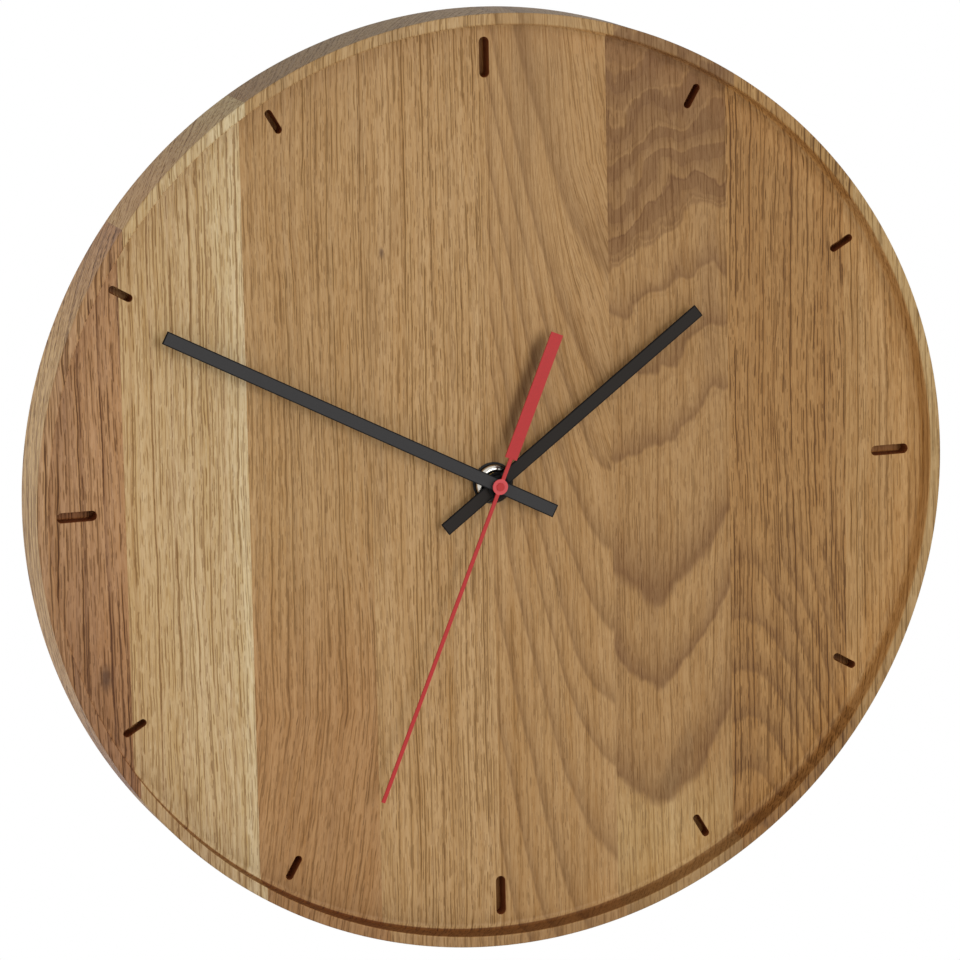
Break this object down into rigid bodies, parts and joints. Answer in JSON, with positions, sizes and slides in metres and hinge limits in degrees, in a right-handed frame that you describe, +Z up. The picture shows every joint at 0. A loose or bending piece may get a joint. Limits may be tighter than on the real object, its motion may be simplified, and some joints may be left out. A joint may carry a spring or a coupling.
{
  "type": "wooden wall clock",
  "caption": "Round dished wall clock of edge-glued oak staves with routed hour slots, straight black hands, a red second hand and a battery quartz movement in the back.",
  "frame": {"origin": "on the hands' axis, in the plane of the back face that lies against the wall", "axes": "+Z up towards 12 o'clock, +X towards 3 o'clock, +Y into the wall; the dial faces -Y"},
  "size_m": [0.3, 0.03, 0.3],
  "materials": {
    "oak_red_brown": "oiled",
    "oak_pale": "oiled",
    "oak_mid": "oiled",
    "oak_light": "oiled",
    "oak_dark": "oiled",
    "brass": "satin",
    "nickel": "polished nickel plate",
    "steel": "bare",
    "copper": "enamelled copper wire",
    "magnet": "sintered",
    "case_plastic": "moulded, fine grain",
    "gear_plastic": "moulded",
    "pale_plastic": "moulded",
    "rubber": "matte",
    "washer_fibre": "matte black",
    "board_laminate": "solder mask",
    "epoxy": "cast drop",
    "battery_can": "plain plastic sleeve over steel",
    "hand_black": "satin black lacquer",
    "hand_red": "satin red lacquer"
  },
  "bodies": {
    "clock": {"stave_1": "oak_red_brown", "stave_2": "oak_pale", "stave_3": "oak_mid", "stave_4": "oak_light", "stave_5": "oak_mid", "stave_6": "oak_dark", "stave_7": "oak_mid", "stave_8": "oak_dark", "hanger_plate": "brass", "hanger_screw_left": "brass", "hanger_screw_right": "brass", "movement_case": "case_plastic", "movement_cover": "case_plastic", "train_bridge": "pale_plastic", "threaded_bush": "brass", "case_gasket": "rubber", "dial_washer": "washer_fibre", "fixing_nut": "nickel", "stator": "steel", "coil_core": "steel", "coil_bobbin": "pale_plastic", "coil_winding": "copper", "circuit_board": "board_laminate", "controller_chip": "epoxy", "quartz_crystal": "steel", "positive_contact": "steel", "negative_contact": "steel", "battery": "battery_can"},
    "second_hand_set": {"second_hand": "hand_red", "second_arbor": "steel", "second_wheel": "gear_plastic"},
    "minute_hand_set": {"minute_hand": "hand_black", "minute_tube": "brass", "centre_wheel": "gear_plastic"},
    "hour_hand_set": {"hour_hand": "hand_black", "hour_wheel": "brass"},
    "setting_set": {"setting_knob": "case_plastic", "minute_wheel": "gear_plastic"},
    "third_set": {"third_wheel": "gear_plastic"},
    "intermediate_set": {"intermediate_wheel": "gear_plastic"},
    "rotor_set": {"rotor_pinion": "gear_plastic", "rotor_magnet": "magnet"}
  },
  "joints": [
    {"name": "second_hand_turn", "type": "hinge", "parent": "clock", "child": "second_hand_set", "pos_m": [0, 0, 0], "axis": [0, 1, 0], "continuous": true},
    {"name": "minute_hand_turn", "type": "hinge", "parent": "clock", "child": "minute_hand_set", "pos_m": [0, 0, 0], "axis": [0, 1, 0], "continuous": true},
    {"name": "hour_hand_turn", "type": "hinge", "parent": "clock", "child": "hour_hand_set", "pos_m": [0, 0, 0], "axis": [0, 1, 0], "continuous": true},
    {"name": "setting_knob_turn", "type": "hinge", "parent": "clock", "child": "setting_set", "pos_m": [-0.01125, 0, 0], "axis": [0, 1, 0], "continuous": true},
    {"name": "third_wheel_turn", "type": "hinge", "parent": "clock", "child": "third_set", "pos_m": [0.00909, 0, 0.00525], "axis": [0, 1, 0], "continuous": true},
    {"name": "intermediate_wheel_turn", "type": "hinge", "parent": "clock", "child": "intermediate_set", "pos_m": [-0.00359, 0, 0.00987], "axis": [0, 1, 0], "continuous": true},
    {"name": "rotor_turn", "type": "hinge", "parent": "clock", "child": "rotor_set", "pos_m": [-0.01205, 0, 0.01294], "axis": [0, 1, 0], "continuous": true}
  ],
  "couplings": [
    {"joint": "minute_hand_turn", "follows": "second_hand_turn", "ratio": 0.016667},
    {"joint": "hour_hand_turn", "follows": "second_hand_turn", "ratio": 0.0013889},
    {"joint": "setting_knob_turn", "follows": "second_hand_turn", "ratio": -0.0055556},
    {"joint": "third_wheel_turn", "follows": "second_hand_turn", "ratio": -0.13333},
    {"joint": "intermediate_wheel_turn", "follows": "second_hand_turn", "ratio": -6},
    {"joint": "rotor_turn", "follows": "second_hand_turn", "ratio": 30}
  ]
}
